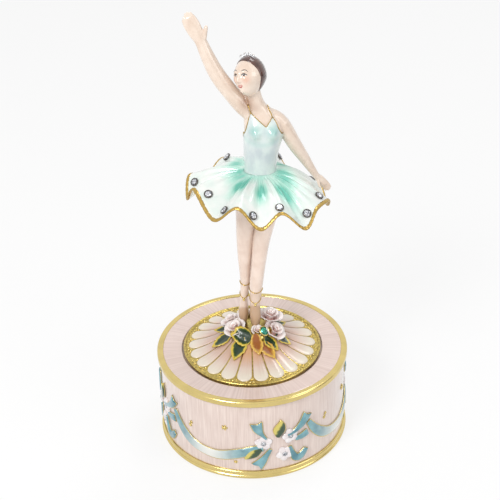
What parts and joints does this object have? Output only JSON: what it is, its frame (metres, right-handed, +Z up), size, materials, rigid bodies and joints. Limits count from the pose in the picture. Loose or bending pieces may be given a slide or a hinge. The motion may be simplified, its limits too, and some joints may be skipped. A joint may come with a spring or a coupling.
{
  "type": "musical jewellery box",
  "caption": "Round enamelled musical jewellery box with a lift-off lid, a petal turntable and a turning dancer, driven by a key-wound movement in the drum.",
  "frame": {"origin": "centre of the drum's footprint, on the table", "axes": "+Z up along the drum's axis; -Y is the front, the side that the dancer faces; +X is to the viewer's right"},
  "size_m": [0.08, 0.08, 0.1883],
  "materials": {
    "pink_enamel": "glossy translucent enamel over fine engraved lines",
    "petal_enamel": "glossy enamel, shaded from apricot to white",
    "rose_enamel": "glossy pale pink enamel with white edges",
    "white_enamel": "glossy white enamel",
    "teal_enamel": "glossy teal enamel",
    "swag_enamel": "glossy teal enamel that fades to white",
    "leaf_enamel": "dark green enamel with gilt edges",
    "gilt": "polished gold plate",
    "movement_brass": "satin brass",
    "steel": "bright steel",
    "fan_aluminium": "thin bright sheet",
    "tray_metal": "gilt sheet",
    "velvet": "short rose-coloured velvet",
    "clear_crystal": "cut clear crystal",
    "green_glass": "cut green crystal",
    "skin_enamel": "glossy ivory pink enamel",
    "tutu_enamel": "pearl white enamel with mint folds",
    "bodice_enamel": "pearl ice-blue enamel",
    "hair_enamel": "dark brown enamel",
    "silver": "bright silver plate"
  },
  "bodies": {
    "base": {"base_ring": "gilt", "drum_shell": "pink_enamel", "swag_ribbons": "swag_enamel", "bow_ribbons": "teal_enamel", "garland_leaves": "leaf_enamel", "blossoms": "white_enamel", "blossom_crystals": "clear_crystal", "gold_studs": "gilt", "base_plate": "movement_brass", "base_screws": "steel", "bedplate": "movement_brass", "bed_screws": "steel", "barrel_bridge": "movement_brass", "bridge_screws": "steel", "comb": "steel", "comb_screws": "steel", "bearing_blocks": "movement_brass", "governor_frame": "movement_brass", "ring_tray": "tray_metal", "tray_lining": "velvet"},
    "click": {"click_pawl": "steel"},
    "winder": {"winding_key": "gilt", "winding_arbor": "steel", "ratchet_wheel": "steel"},
    "barrel": {"spring_barrel": "movement_brass", "mainspring": "steel", "output_shaft": "steel"},
    "cylinder": {"pinned_cylinder": "movement_brass", "cylinder_arbor": "steel", "cylinder_pinion": "movement_brass", "end_gear": "movement_brass"},
    "governor": {"governor_wheel": "movement_brass"},
    "fan": {"governor_worm": "steel", "air_fan": "fan_aluminium"},
    "lid": {"lid_plate": "pink_enamel", "lid_rim": "gilt", "turntable_bush": "movement_brass"},
    "turntable": {"turntable_disc": "gilt", "petals": "petal_enamel", "turntable_shaft": "steel", "drive_coupler": "movement_brass", "mound_roses": "rose_enamel", "mound_leaves": "leaf_enamel", "green_crystal": "green_glass", "left_leg": "skin_enamel", "right_leg": "skin_enamel", "ankle_ribbons": "gilt", "tutu": "tutu_enamel", "tutu_hem": "gilt", "tutu_crystals": "clear_crystal", "bodice": "bodice_enamel", "torso": "skin_enamel", "straps": "gilt", "raised_arm": "skin_enamel", "lowered_arm": "skin_enamel", "head": "skin_enamel", "hair": "hair_enamel", "tiara": "silver"}
  },
  "joints": [
    {"name": "lid_lift", "type": "slide", "parent": "base", "child": "lid", "axis": [0, 0, 1], "range_m": [0, 0.03]},
    {"name": "turntable_spin", "type": "hinge", "parent": "lid", "child": "turntable", "pos_m": [0, 0, 0.0381], "axis": [0, 0, 1], "continuous": true},
    {"name": "barrel_spin", "type": "hinge", "parent": "base", "child": "barrel", "pos_m": [0, 0, 0.0124], "axis": [0, 0, 1], "continuous": true},
    {"name": "cylinder_spin", "type": "hinge", "parent": "base", "child": "cylinder", "pos_m": [0.0126, 0, 0.018], "axis": [1, 0, 0], "continuous": true},
    {"name": "governor_spin", "type": "hinge", "parent": "base", "child": "governor", "pos_m": [0.0298, 0.0096, 0.018], "axis": [1, 0, 0], "continuous": true},
    {"name": "fan_spin", "type": "hinge", "parent": "base", "child": "fan", "pos_m": [0.0259, 0.013, 0.018], "axis": [0, 0, 1], "continuous": true},
    {"name": "key_wind", "type": "hinge", "parent": "base", "child": "winder", "pos_m": [0, 0, 0], "axis": [0, 0, 1], "continuous": true},
    {"name": "click_swing", "type": "hinge", "parent": "base", "child": "click", "pos_m": [-0.0074, 0.0043, 0.0095], "axis": [0, 0, 1], "range_deg": [-8, 0]}
  ],
  "couplings": [
    {"joint": "barrel_spin", "follows": "turntable_spin", "ratio": 1},
    {"joint": "cylinder_spin", "follows": "turntable_spin", "ratio": 4},
    {"joint": "governor_spin", "follows": "turntable_spin", "ratio": -20},
    {"joint": "fan_spin", "follows": "turntable_spin", "ratio": 120}
  ]
}
